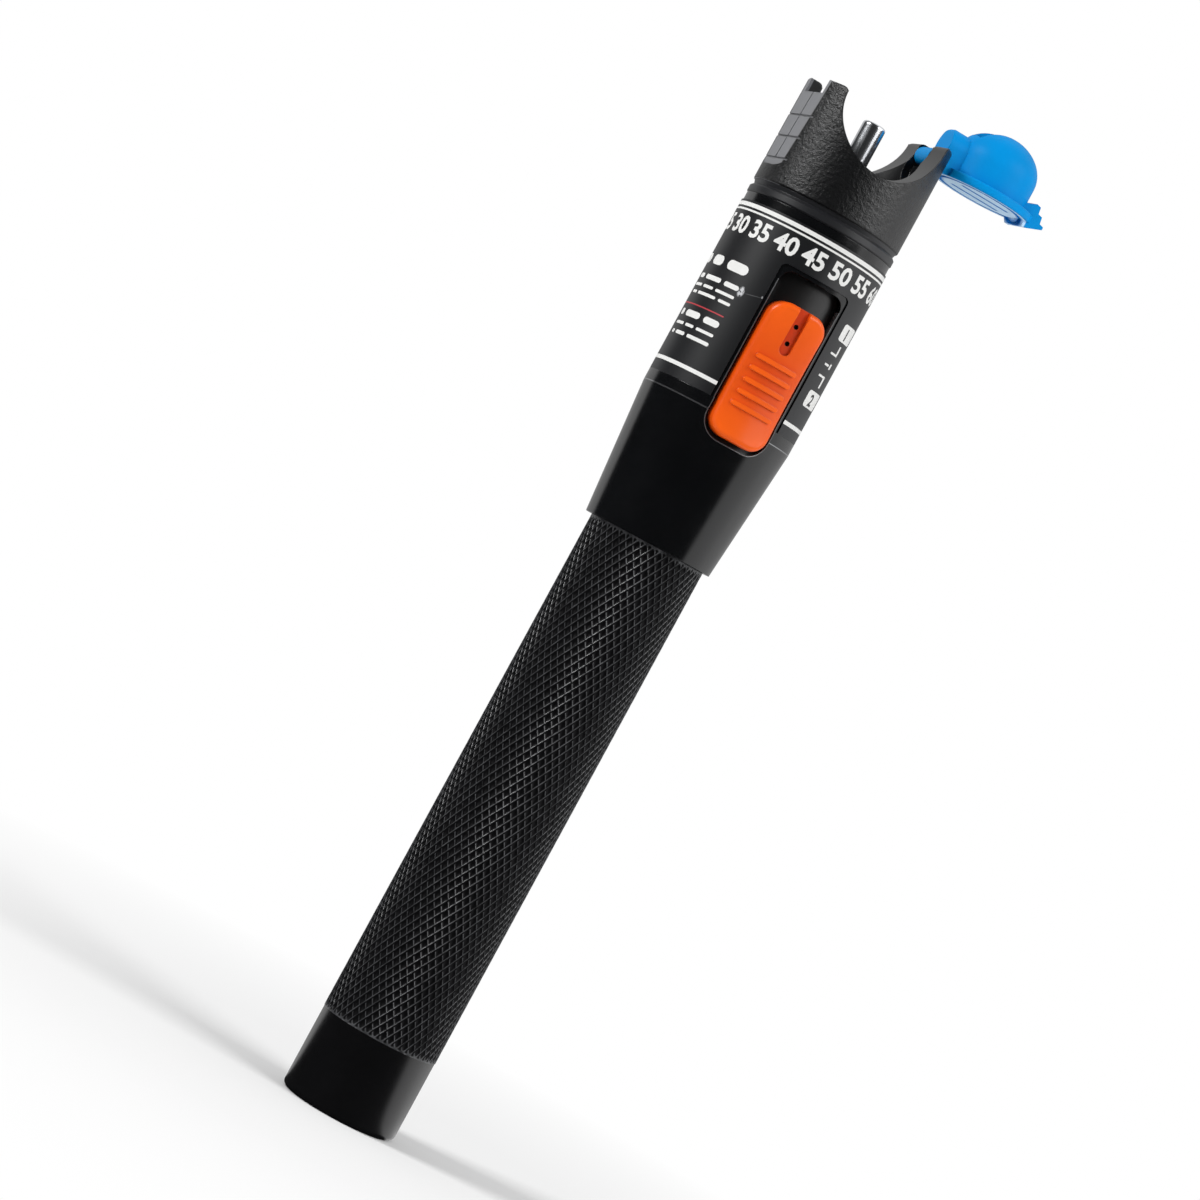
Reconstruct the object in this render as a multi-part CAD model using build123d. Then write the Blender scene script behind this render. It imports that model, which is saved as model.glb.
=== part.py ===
from build123d import *
import math
import os

# Visual fault locator: a pen-shaped red-light source for 2.5 mm fibre ferrules.
# It stands on its tail. The origin is the centre of the tail face, +Z runs up the
# barrel to the port, +X points at the cap's hinge, -X at the thumb pad and -Y at the
# slide button. The cap is drawn open, as far over as it goes. Sizes in millimetres.

# Battery tube: closed tail, knurled barrel and a threaded neck over two cells
cell_radius = 7.25
cell_length = 50.5
cell_clearance = 0.45
cell_edge_round = 0.6
cell_nub_radius = 2.75
cell_nub_height = 1.0
tail_floor = 3.5
tail_edge_round = 0.9
spring_height = 5.5
spring_radius = 4.6
spring_wire = 0.8
spring_turns = 3
neck_wall = 1.65
neck_length = 7.8
neck_above_cells = 4.5
shoulder_width = 0.85
shoulder_height = 2.0
ring_section = 0.96
ring_clearance = 0.04
ring_offset = 0.6
ring_side_play = 0.3

# Body housing, its heights measured up from the mouth that slips over the barrel
thread_clearance = 0.05
mouth_clearance = 0.1
mouth_wall = 1.0
flare_width = 3.05
flare_height = 23.2
rim_height = 2.0
window_rise = 19.4
window_to_top = 9.0
window_bottom_corner = 3.5
window_top_corner = 2.0
housing_wall = 1.65
neck_headroom = 1.5
ledge_height = 2.5
label_thickness = 0.15
label_gap = 0.06
label_top_margin = 1.5
label_window_margin = 0.7
label_seam = 0.6

# Slide button and its switch, the button's heights measured up from its lower end
button_width = 10.3
button_length = 24.0
button_travel = 4.2
button_side_gap = 0.65
button_bottom_gap = 0.8
button_stop_gap = 0.3
button_corner = 3.0
button_rise_ends = 1.35
button_rise_waist = 0.75
button_waist_drop = 1.0
button_edge_round = 0.8
button_gap = 0.12
rib_count = 5
rib_start = 5.75
rib_pitch = 2.1
rib_width = 7.6
rib_thickness = 0.8
rib_height = 0.55
rib_root = 0.3
button_slot_width = 2.0
button_slot_start = 16.0
button_slot_depth = 1.1
button_hole_radius = 0.35
button_hole_spacing = 3.0
button_hole_depth = 0.5
lever_width = 2.0
lever_length = 2.4
lever_fit = 0.05
lever_reach = 1.0
lever_foot = 1.0
switch_body_width = 6.4
switch_body_height = 4.0
switch_body_end_wall = 2.0

# Inner carrier and circuit board
carrier_clearance = 0.1
carrier_wall = 1.5
carrier_base = 2.0
carrier_end_gap = 0.3
carrier_boss_clearance = 0.4
lever_slot_clearance = 0.4
board_width = 14.0
board_thickness = 1.2
board_front_y = -3.2
board_foot_gap = 0.5
board_pin_overlap = 2.4
rail_width = 2.0
rail_depth = 4.0
post_radius = 1.9
screw_radius = 0.8
screw_head_radius = 1.5
screw_head_height = 0.9
screw_length = 5.0
screw_fit = 0.02
screw_offset_x = 4.8
screw_rise = 3.6
contact_radius = 5.0
contact_thickness = 0.6
contact_stem_radius = 1.0

# Collar ring and head crown: skirt, web and bore are stacked on the collar
collar_height = 2.4
collar_step = 0.05
collar_groove_drop = 0.7
collar_groove_depth = 0.5
collar_chamfer = 0.25
crown_skirt = 3.2
crown_web = 3.8
crown_bore_depth = 11.8
crown_wall = 3.8
crown_base_round = 0.3
spigot_skirt = 2.5
spigot_wall = 2.6
prong_thickness = 3.3
scallop_draft = 0.6
scallop_overcut = 1.0
scallop_rise = 1.4
prong_round = 0.5
prong_corner = 0.9
pad_depth = 0.8
pad_rise = 2.7
pad_draft = 2.0
pad_side_margin = 2.0
pad_groove_width = 0.35
pad_groove_depth = 0.3
pad_groove_rise = 1.5
pad_groove_pitch = 3.95
pad_groove_rows = 3
notch_half_width = 4.3
notch_front_drop = 2.0
notch_back_drop = 4.4
notch_overcut = 1.0
hinge_inset = 2.3
hinge_drop = 1.8
hinge_slot_clearance = 0.2
hinge_floor_clearance = 0.5
hinge_slot_overcut = 2.0
cheek_clearance = 0.6
pin_radius = 0.75
pin_press = 0.02
pin_running = 0.05
pin_front_grip = 1.8
pin_back_grip = 2.4

# Port: chrome sleeve, ceramic sleeve and the laser module hung under them
ferrule_bore_radius = 1.25
ceramic_wall = 0.35
ceramic_fit = 0.02
ceramic_length = 11.5
ceramic_slit = 0.4
port_wall = 0.4
port_drop = 1.8
port_edge_wall = 0.6
port_edge_flat = 0.05
port_collar_radius = 3.4
port_collar_height = 2.5
port_lip = 0.8
port_hole_clearance = 0.05
light_hole_radius = 0.8
barrel_flange_gap = 0.1
barrel_flange_height = 5.0
module_radius = 4.75
module_skirt = 3.7
module_fit = 0.05
lens_depth = 5.7
lens_radius = 2.4
lens_edge = 1.0
lens_bulge = 0.5
lens_ring_height = 1.4
lens_ring_bore = 1.5
lens_ring_clearance = 0.1
diode_depth = 5.9
diode_base_radius = 2.8
diode_base_height = 1.2
diode_can_radius = 2.1
diode_can_height = 1.6
diode_pin_radius = 0.225
diode_pin_spacing = 1.27
diode_pin_length = 5.7
nut_height = 2.5
nut_slot_width = 1.5
nut_slot_depth = 1.2

# Cap, its heights measured from the hinge or the plate
plate_play = 0.35
plate_thickness = 1.4
plate_drop = 1.5
plate_crown_gap = 0.7
plate_edge_round = 0.35
plate_ring_inset = 1.65
plate_ring_width = 0.5
plate_ring_depth = 0.3
plate_bar_length = 9.0
plate_bar_gap = 2.4
dome_inset = 1.85
dome_wall_height = 5.2
dome_rise = 5.9
arm_half_width = 3.0
arm_height = 6.0
arm_setback = 0.9
arm_wall_clearance = 0.25
arm_floor_clearance = 0.1
arm_corner = 0.8
knuckle_radius = 1.6
port_clearance = 0.3
relief_clearance = 0.4
tongue_half_width = 4.0
tongue_inset = 1.7
tongue_length = 4.0
tongue_half_height = 1.4
tongue_lip_slope = 0.6
tongue_lip_width = 0.8
tongue_lip_height = 0.8
tongue_nose_low = 1.3
tongue_nose_high = 0.8
tongue_steps = 3
tongue_step = 1.0
tongue_tread = 0.8
tongue_tread_slope = 0.2
tongue_riser = 1.3

# Battery tube sizes worked out from those above
cell_bore_radius = cell_radius + cell_clearance
neck_radius = cell_bore_radius + neck_wall
barrel_radius = neck_radius + shoulder_width
cell_bottom_z = tail_floor + spring_height
stack_top_z = cell_bottom_z + 2 * cell_length
neck_top_z = stack_top_z + neck_above_cells
neck_bottom_z = neck_top_z - neck_length
barrel_top_z = neck_bottom_z - shoulder_height
thread_radius = neck_radius + thread_clearance

# Housing and button
mouth_bore_radius = barrel_radius + mouth_clearance
mouth_radius = mouth_bore_radius + mouth_wall
housing_radius = barrel_radius + flare_width
housing_bore_radius = housing_radius - housing_wall
flare_top_z = barrel_top_z + flare_height
label_bottom_z = flare_top_z + rim_height
label_inner_radius = housing_radius - label_thickness
label_seat_radius = label_inner_radius - label_gap
ledge_z = neck_top_z + neck_headroom + ledge_height
window_bottom_z = barrel_top_z + window_rise
window_width = button_width + 2 * button_side_gap
button_bottom_z = window_bottom_z + button_bottom_gap
button_top_z = button_bottom_z + button_length
button_middle_z = button_bottom_z + button_length / 2
window_top_z = button_top_z + button_travel + button_stop_gap
housing_top_z = window_top_z + window_to_top
label_top_z = housing_top_z - label_top_margin

# Crown, port and laser module
collar_top_z = housing_top_z + collar_height
collar_radius = housing_radius - collar_step
collar_groove_z = collar_top_z - collar_groove_drop
crown_radius = collar_radius
crown_bore_radius = crown_radius - crown_wall
crown_web_bottom_z = collar_top_z + crown_skirt
crown_floor_z = crown_web_bottom_z + crown_web
crown_top_z = crown_floor_z + crown_bore_depth
scallop_radius = crown_radius - prong_thickness
scallop_inner_radius = scallop_radius - scallop_draft
scallop_centre_z = crown_floor_z + scallop_rise + scallop_radius
pad_x = -(crown_radius - pad_depth)
pad_bottom_z = collar_top_z + pad_rise
pad_groove_bottom_z = pad_bottom_z + pad_groove_rise
notch_front_z = crown_top_z - notch_front_drop
notch_back_z = crown_top_z - notch_back_drop
hinge_x = crown_radius - hinge_inset
hinge_z = crown_top_z - hinge_drop
hinge_slot_half = arm_half_width + hinge_slot_clearance
hinge_floor_z = hinge_z - knuckle_radius - hinge_floor_clearance
pin_front_reach = hinge_slot_half + pin_front_grip
pin_back_reach = hinge_slot_half + pin_back_grip
ceramic_outer_radius = ferrule_bore_radius + ceramic_wall
port_radius = ceramic_outer_radius + port_wall
port_lip_radius = port_radius - port_edge_wall
port_top_z = crown_top_z - port_drop
port_base_z = crown_web_bottom_z - port_collar_height
ceramic_top_z = port_top_z - port_lip
flange_bottom_z = crown_web_bottom_z - barrel_flange_height
lens_seat_z = port_base_z - lens_depth
diode_seat_z = lens_seat_z - diode_depth
diode_pin_z = diode_seat_z - diode_base_height - diode_pin_length
spigot_bottom_z = flange_bottom_z - nut_height - spigot_skirt

# Carrier, board and switch
carrier_radius = housing_bore_radius - carrier_clearance
carrier_inner_radius = carrier_radius - carrier_wall
carrier_base_top_z = ledge_z + carrier_base
carrier_top_z = spigot_bottom_z - carrier_end_gap
carrier_boss_radius = cell_bore_radius - carrier_boss_clearance
spigot_bore_radius = carrier_radius - spigot_wall
board_back_y = board_front_y + board_thickness
board_bottom_z = carrier_base_top_z + board_foot_gap
board_top_z = diode_pin_z + board_pin_overlap
screw_z = board_bottom_z + screw_rise
button_seat_radius = carrier_radius + button_gap
lever_z = button_middle_z - button_waist_drop
lever_tip_radius = button_seat_radius + lever_reach

# Cap
plate_radius = crown_bore_radius - plate_play
plate_ring_radius = plate_radius - plate_ring_inset
plate_bottom_z = hinge_z - plate_drop
plate_top_z = plate_bottom_z + plate_thickness
plate_cut_x = crown_radius + plate_crown_gap
cheek_round = plate_cut_x - hinge_x - cheek_clearance
dome_radius = plate_radius - dome_inset
dome_straight_top_z = plate_bottom_z + dome_wall_height
relief_radius = hinge_x - port_radius - relief_clearance
arm_throat_rise = knuckle_radius + hinge_floor_clearance - arm_floor_clearance
cap_x = 2 * hinge_x

# How far a cut runs past the surface that it cuts
overshoot = 5.0
full_width = (-crown_radius - overshoot, crown_radius + overshoot)


def turned(points, rounds=()):
    """Solid turned about Z from (radius, height) corners; rounds are (corner, radius)."""
    section = make_face(Polyline(*[(r, 0, z) for r, z in points], close=True))
    for corner, radius in rounds:
        r, z = points[corner]
        spot = section.vertices().sort_by_distance((r, 0, z))[0]
        section = fillet(spot, radius)
    return revolve(section, Axis.Z)


def disc(radius, bottom_z, top_z):
    """Plain cylinder on the main axis between two heights."""
    upright = (Align.CENTER, Align.CENTER, Align.MIN)
    return Pos(0, 0, bottom_z) * Cylinder(radius, top_z - bottom_z, align=upright)


def ring(outer_radius, inner_radius, bottom_z, top_z):
    """Plain ring on the main axis between two heights."""
    bore = disc(inner_radius, bottom_z - overshoot, top_z + overshoot)
    return disc(outer_radius, bottom_z, top_z) - bore


def block(x_range, y_range, z_range):
    """Box between two corners."""
    (x0, x1), (y0, y1), (z0, z1) = x_range, y_range, z_range
    box = Box(x1 - x0, y1 - y0, z1 - z0, align=(Align.MIN, Align.MIN, Align.MIN))
    return Pos(x0, y0, z0) * box


def across(radius, y_range, x, z):
    """Cylinder along Y, such as a hinge pin or its hole."""
    y0, y1 = y_range
    middle = (y0 + y1) / 2
    return Pos(x, middle, z) * Rot(90, 0, 0) * Cylinder(radius, y1 - y0)


def side_profile(outline, half_width):
    """Closed XZ outline made solid to the same width on both sides of the XZ plane."""
    return extrude(make_face(outline), half_width, dir=(0, 1, 0), both=True)


def front_opening(width, bottom_z, top_z, bottom_corner, top_corner):
    """Window shape on the -Y side, running out from the axis past the surface."""
    middle = (bottom_z + top_z) / 2
    outline = Plane.XZ * Pos(0, middle) * Rectangle(width, top_z - bottom_z)
    outline = fillet(outline.vertices().group_by(Axis.Z)[0], bottom_corner)
    outline = fillet(outline.vertices().group_by(Axis.Z)[-1], top_corner)
    return extrude(outline, housing_radius + overshoot, dir=(0, -1, 0))


def make_battery_tube():
    groove_radius = neck_radius + thread_clearance - ring_clearance - ring_section
    groove_bottom = neck_bottom_z + ring_offset
    groove_top = groove_bottom + ring_section + ring_side_play
    outline = [
        (0, 0),
        (barrel_radius, 0),
        (barrel_radius, neck_bottom_z),
        (neck_radius, neck_bottom_z),
        (neck_radius, groove_bottom),
        (groove_radius, groove_bottom),
        (groove_radius, groove_top),
        (neck_radius, groove_top),
        (neck_radius, neck_top_z),
        (cell_bore_radius, neck_top_z),
        (cell_bore_radius, tail_floor),
        (0, tail_floor),
    ]
    return turned(outline, [(1, tail_edge_round)])


def make_tube_o_ring():
    centre_radius = neck_radius + thread_clearance - ring_clearance - ring_section / 2
    centre_z = neck_bottom_z + ring_offset + ring_section / 2
    return Pos(0, 0, centre_z) * Torus(centre_radius, ring_section / 2)


def make_tail_spring():
    """Coil between two closed end rings, so that it seats flat."""
    wire = spring_wire / 2
    low = tail_floor + wire
    high = cell_bottom_z - wire
    path = Helix((high - low) / spring_turns, high - low, spring_radius, center=(0, 0, low))
    start = Plane(origin=path @ 0, z_dir=path % 0)
    coil = sweep(start * Circle(wire), path=path)
    ends = [Pos(0, 0, z) * Torus(spring_radius, wire) for z in (low, high)]
    return coil + ends


def make_cell(bottom_z):
    shoulder_z = bottom_z + cell_length - cell_nub_height
    outline = [
        (0, bottom_z),
        (cell_radius, bottom_z),
        (cell_radius, shoulder_z),
        (cell_nub_radius, shoulder_z),
        (cell_nub_radius, bottom_z + cell_length),
        (0, bottom_z + cell_length),
    ]
    return turned(outline, [(1, cell_edge_round), (2, cell_edge_round)])


def make_body_housing():
    mouth_depth_z = neck_bottom_z + mouth_clearance
    outline = [
        (mouth_bore_radius, barrel_top_z),
        (mouth_radius, barrel_top_z),
        (housing_radius, flare_top_z),
        (housing_radius, label_bottom_z),
        (label_seat_radius, label_bottom_z),
        (label_seat_radius, housing_top_z),
        (housing_bore_radius, housing_top_z),
        (housing_bore_radius, ledge_z),
        (thread_radius, ledge_z),
        (thread_radius, mouth_depth_z),
        (mouth_bore_radius, mouth_depth_z),
    ]
    window = front_opening(
        window_width, window_bottom_z, window_top_z, window_bottom_corner, window_top_corner
    )
    return turned(outline) - window


def make_label_wrap():
    window = front_opening(
        window_width + 2 * label_window_margin,
        label_bottom_z - overshoot,
        window_top_z + label_window_margin,
        window_top_corner / 2,
        window_top_corner / 2,
    )
    seam = block(
        (-label_seam / 2, label_seam / 2),
        (0, housing_radius + overshoot),
        (label_bottom_z - overshoot, label_top_z + overshoot),
    )
    wrap = ring(housing_radius, label_inner_radius, label_bottom_z, label_top_z)
    return wrap - window - seam


def make_collar_ring():
    """Trim ring with a groove, between the housing's end and the crown."""
    outline = [
        (carrier_radius + carrier_clearance, housing_top_z),
        (collar_radius - collar_chamfer, housing_top_z),
        (collar_radius, housing_top_z + collar_chamfer),
        (collar_radius, collar_groove_z - collar_groove_depth),
        (collar_radius - collar_groove_depth, collar_groove_z),
        (collar_radius - collar_chamfer, collar_top_z),
        (carrier_radius + carrier_clearance, collar_top_z),
    ]
    return turned(outline)


def half_shell(side):
    """Half of the carrier's tube: side 1 is the rear half and side -1 the front."""
    shell = ring(carrier_radius, carrier_inner_radius, carrier_base_top_z, carrier_top_z)
    ys = tuple(sorted((0, side * (carrier_radius + overshoot))))
    xs = (-carrier_radius - overshoot, carrier_radius + overshoot)
    return shell & block(xs, ys, (ledge_z, carrier_top_z + overshoot))


def make_carrier_back():
    """Base, boss and rear half shell, with board rails and screw posts."""
    base = disc(carrier_radius, ledge_z, carrier_base_top_z)
    boss = disc(carrier_boss_radius, stack_top_z + contact_thickness, ledge_z)
    body = base + boss + half_shell(1)
    root_radius = carrier_inner_radius + carrier_wall / 2
    inside = disc(root_radius, carrier_base_top_z, board_top_z)
    for side in (-1, 1):
        xs = tuple(sorted((side * (board_width / 2 - rail_width), side * root_radius)))
        ys = (board_back_y, board_back_y + rail_depth)
        body += block(xs, ys, (carrier_base_top_z, board_top_z)) & inside
        x = side * screw_offset_x
        body += across(post_radius, (board_back_y, root_radius), x, screw_z) & inside
        hole_range = (board_back_y - overshoot, board_front_y + screw_length)
        body -= across(screw_radius + screw_fit, hole_range, x, screw_z)
    body -= half_shell(-1)
    return body - disc(contact_stem_radius + screw_fit, stack_top_z, board_bottom_z)


def make_carrier_front():
    """Front half shell: its glossy face is the floor of the switch window."""
    slot_side = lever_width / 2 + lever_slot_clearance
    slot = block(
        (-slot_side, slot_side),
        (-carrier_radius - overshoot, -carrier_inner_radius + overshoot),
        (
            lever_z - lever_length / 2 - lever_slot_clearance,
            lever_z + lever_length / 2 + button_travel + lever_slot_clearance,
        ),
    )
    return half_shell(-1) - slot


def make_carrier_screws():
    screws = []
    for side in (-1, 1):
        x = side * screw_offset_x
        tip_y = board_front_y + screw_length
        shank = across(screw_radius, (board_front_y, tip_y), x, screw_z)
        head_range = (board_front_y - screw_head_height, board_front_y)
        head = across(screw_head_radius, head_range, x, screw_z)
        screws.append(shank + head)
    return Compound(children=screws)


def make_circuit_board():
    half = board_width / 2
    board = block((-half, half), (board_front_y, board_back_y), (board_bottom_z, board_top_z))
    for side in (-1, 1):
        hole_range = (board_front_y - overshoot, board_back_y + overshoot)
        hole = across(screw_radius + screw_fit, hole_range, side * screw_offset_x, screw_z)
        board -= hole
    return board


def switch_channel():
    """Room for the lever's foot in the switch body, over the whole travel."""
    side = lever_width / 2 + lever_fit
    front_y = board_front_y - switch_body_height
    return block(
        (-side, side),
        (front_y - overshoot, front_y + lever_foot + lever_fit),
        (
            lever_z - lever_length / 2 - lever_fit,
            lever_z + lever_length / 2 + button_travel + lever_fit,
        ),
    )


def make_slide_switch_body():
    half = switch_body_width / 2
    low = lever_z - lever_length / 2 - switch_body_end_wall
    high = lever_z + lever_length / 2 + button_travel + switch_body_end_wall
    front_y = board_front_y - switch_body_height
    return block((-half, half), (front_y, board_front_y), (low, high)) - switch_channel()


def make_switch_lever():
    half = lever_width / 2
    foot_y = board_front_y - switch_body_height + lever_foot
    zs = (lever_z - lever_length / 2, lever_z + lever_length / 2)
    return block((-half, half), (-lever_tip_radius, foot_y), zs)


def button_surface(rise_ends, rise_waist):
    """Turned envelope whose height over the housing dips at the button's waist."""
    low_z, high_z = button_bottom_z - overshoot, button_top_z + overshoot
    ends = housing_radius + rise_ends
    waist = housing_radius + rise_waist
    waist_z = button_middle_z - button_waist_drop
    outline = [
        Line((0, 0, low_z), (ends, 0, low_z)),
        Line((ends, 0, low_z), (ends, 0, button_bottom_z)),
        ThreePointArc(
            (ends, 0, button_bottom_z), (waist, 0, waist_z), (ends, 0, button_top_z)
        ),
        Line((ends, 0, button_top_z), (ends, 0, high_z)),
        Line((ends, 0, high_z), (0, 0, high_z)),
        Line((0, 0, high_z), (0, 0, low_z)),
    ]
    return revolve(make_face(outline), Axis.Z)


def make_switch_button():
    outline = Plane.XZ * Pos(0, button_middle_z)
    outline = outline * RectangleRounded(button_width, button_length, button_corner)
    pad = extrude(outline, housing_radius + overshoot, dir=(0, -1, 0))
    body = pad & button_surface(button_rise_ends, button_rise_waist)
    rim_radius = housing_radius + button_rise_waist / 2
    rim = body.edges().filter_by(
        lambda edge: math.hypot((edge @ 0.5).X, (edge @ 0.5).Y) > rim_radius
        and edge.length > button_edge_round
    )
    body = fillet(rim, button_edge_round)
    body -= disc(button_seat_radius, button_bottom_z - overshoot, button_top_z + overshoot)
    slot_bottom_z = button_bottom_z + button_slot_start
    slot_middle = (slot_bottom_z + button_top_z + overshoot) / 2
    slot_length = button_top_z + overshoot - slot_bottom_z
    slot = Plane.XZ * Pos(0, slot_middle) * Rot(0, 0, 90)
    slot = slot * SlotOverall(slot_length, button_slot_width)
    slot = extrude(slot, housing_radius + overshoot, dir=(0, -1, 0))
    slot_floor_radius = housing_radius + button_rise_ends - button_slot_depth
    slot -= disc(slot_floor_radius, button_bottom_z, button_top_z + 2 * overshoot)
    body -= slot
    for step in (1, 2):
        z = slot_bottom_z + step * button_hole_spacing - button_slot_width / 2
        hole_range = (-slot_floor_radius - overshoot, -slot_floor_radius + button_hole_depth)
        body -= across(button_hole_radius, hole_range, 0, z)
    skin = button_surface(button_rise_ends, button_rise_waist + rib_height)
    core_radius = housing_radius + button_rise_waist - rib_root
    core = disc(core_radius, button_bottom_z - overshoot, button_top_z + overshoot)
    half = rib_width / 2 - rib_thickness / 2
    outward = (-housing_radius - overshoot, 0)
    for index in range(rib_count):
        z = button_bottom_z + rib_start + index * rib_pitch
        bar = block((-half, half), outward, (z - rib_thickness / 2, z + rib_thickness / 2))
        for x in (-half, half):
            bar += across(rib_thickness / 2, outward, x, z)
        body += (bar & skin) - core
    pocket_side = lever_width / 2 + lever_fit
    pocket_end = lever_length / 2 + lever_fit
    pocket = block(
        (-pocket_side, pocket_side),
        (-lever_tip_radius - lever_fit, 0),
        (lever_z - pocket_end, lever_z + pocket_end),
    )
    return body - pocket


def make_battery_contact():
    plate = disc(contact_radius, stack_top_z, stack_top_z + contact_thickness)
    stem = disc(contact_stem_radius, stack_top_z, board_bottom_z)
    return plate + stem


def scallop_face(radius, up):
    """Section of a scallop: a half circle whose sides roll out at the crown's top."""
    top = crown_top_z + overshoot
    leg = prong_corner * math.sqrt(0.5)
    outline = [
        ThreePointArc(
            (radius, up * scallop_centre_z),
            (0, up * (scallop_centre_z - radius)),
            (-radius, up * scallop_centre_z),
        ),
        Line((-radius - prong_corner, up * top), (radius + prong_corner, up * top)),
    ]
    for side in (-1, 1):
        wall_x = side * radius
        rolled_x = side * (radius + prong_corner - leg)
        outer_x = side * (radius + prong_corner)
        corner_z = crown_top_z - prong_corner
        outline += [
            Line((wall_x, up * scallop_centre_z), (wall_x, up * corner_z)),
            ThreePointArc(
                (wall_x, up * corner_z),
                (rolled_x, up * (corner_z + leg)),
                (outer_x, up * crown_top_z),
            ),
            Line((outer_x, up * crown_top_z), (outer_x, up * top)),
        ]
    return make_face(outline)


def scallop_cut(side):
    """Finger scallop on one side, a little wider at the outside than at the axis."""
    inner = Plane((0, 0, 0), x_dir=(1, 0, 0), z_dir=(0, side, 0))
    far = inner.offset(crown_radius + scallop_overcut)
    sections = []
    for plane, radius in ((inner, scallop_inner_radius), (far, scallop_radius)):
        up = 1 if plane.y_dir.Z > 0 else -1
        sections.append(plane * scallop_face(radius, up))
    return loft(sections)


def cheek_corner():
    """What the cap's plate sweeps past, above and outside the hinge."""
    corner = block(
        (hinge_x, hinge_x + overshoot),
        (-crown_radius, crown_radius),
        (hinge_z, hinge_z + overshoot),
    )
    return corner - across(cheek_round, full_width, hinge_x, hinge_z)


def latch_notch():
    """Opening for the cap's tongue, with a floor that slopes in to the bore."""
    back_x = -(crown_bore_radius - notch_overcut)
    outline = Polyline(
        (pad_x - overshoot, 0, notch_front_z),
        (pad_x, 0, notch_front_z),
        (-crown_bore_radius, 0, notch_back_z),
        (back_x, 0, notch_back_z),
        (back_x, 0, crown_top_z + overshoot),
        (pad_x - overshoot, 0, crown_top_z + overshoot),
        close=True,
    )
    return side_profile(outline, notch_half_width)


def pad_cut():
    """Flat thumb pad with an arched lower edge."""
    outline = Plane.YZ * Pos(0, (pad_bottom_z + crown_top_z + overshoot) / 2)
    height = crown_top_z + overshoot - pad_bottom_z
    outline = outline * Rectangle(2 * (notch_half_width + pad_side_margin), height)
    outline = fillet(outline.vertices().group_by(Axis.Z)[0], notch_half_width)
    return Pos(pad_x, 0, 0) * extrude(outline, overshoot, dir=(-1, 0, 0))


def pad_grooves():
    """One upright groove, from the lowest crossing groove up into the notch."""
    xs = (pad_x - overshoot, pad_x + pad_groove_depth)
    half = pad_groove_width / 2
    cuts = block(xs, (-half, half), (pad_groove_bottom_z, crown_top_z))
    pad_half_width = notch_half_width + pad_side_margin
    for row in range(pad_groove_rows):
        z = pad_groove_bottom_z + row * pad_groove_pitch
        cuts += block(xs, (-pad_half_width, pad_half_width), (z - half, z + half))
    return cuts


def drafted_pad(cut):
    """A cut of the thumb pad, leant in towards the crown's top about the pad's lower edge."""
    return Pos(pad_x, 0, pad_bottom_z) * Rot(0, pad_draft, 0) * Pos(-pad_x, 0, -pad_bottom_z) * cut


def arm_pocket():
    """Round-ended recess in the bore wall under the hinge, where the closed cap's arm lies."""
    half = arm_half_width + hinge_slot_clearance
    spring_z = hinge_z - arm_height + arm_half_width
    x_range = (
        crown_bore_radius - hinge_slot_overcut,
        hinge_x - arm_setback + arm_wall_clearance,
    )
    straight = block(x_range, (-half, half), (spring_z, hinge_z))
    arch = Rot(0, 90, 0) * Cylinder(half, x_range[1] - x_range[0])
    return straight + Pos(sum(x_range) / 2, 0, spring_z) * arch


def make_head_crown():
    body_outline = [
        (spigot_bore_radius, spigot_bottom_z),
        (carrier_radius, spigot_bottom_z),
        (carrier_radius, collar_top_z),
        (crown_radius, collar_top_z),
        (crown_radius, crown_top_z),
        (crown_bore_radius, crown_top_z),
        (crown_bore_radius, crown_floor_z),
        (port_radius + port_hole_clearance, crown_floor_z),
        (port_radius + port_hole_clearance, crown_web_bottom_z),
        (spigot_bore_radius, crown_web_bottom_z),
    ]
    body = turned(body_outline, [(3, crown_base_round), (4, prong_round), (5, prong_round)])
    body -= scallop_cut(-1)
    body -= scallop_cut(1)
    body -= drafted_pad(pad_cut())
    body -= drafted_pad(pad_grooves())
    body -= latch_notch()
    hinge_slot = block(
        (crown_bore_radius - hinge_slot_overcut, crown_radius + overshoot),
        (-hinge_slot_half, hinge_slot_half),
        (hinge_floor_z, crown_top_z + overshoot),
    )
    pin_hole = across(
        pin_radius + pin_press, (-pin_front_reach, crown_radius), hinge_x, hinge_z
    )
    return body - hinge_slot - arm_pocket() - cheek_corner() - pin_hole


def make_cap_hinge_pin():
    return across(pin_radius, (-pin_front_reach, pin_back_reach), hinge_x, hinge_z)


def make_ferrule_sleeve():
    outline = [
        (light_hole_radius, port_base_z),
        (port_collar_radius, port_base_z),
        (port_collar_radius, crown_web_bottom_z),
        (port_radius, crown_web_bottom_z),
        (port_radius, port_top_z),
        (port_lip_radius, port_top_z),
        (port_lip_radius, ceramic_top_z),
        (ceramic_outer_radius + ceramic_fit, ceramic_top_z),
        (ceramic_outer_radius + ceramic_fit, ceramic_top_z - ceramic_length),
        (light_hole_radius, ceramic_top_z - ceramic_length),
    ]
    return turned(outline, [(4, port_edge_wall - port_edge_flat)])


def make_ceramic_sleeve():
    bottom_z = ceramic_top_z - ceramic_length
    tube = ring(ceramic_outer_radius, ferrule_bore_radius, bottom_z, ceramic_top_z)
    slit = block(
        (0, overshoot),
        (-ceramic_slit / 2, ceramic_slit / 2),
        (bottom_z - overshoot, ceramic_top_z + overshoot),
    )
    return tube - slit


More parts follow.
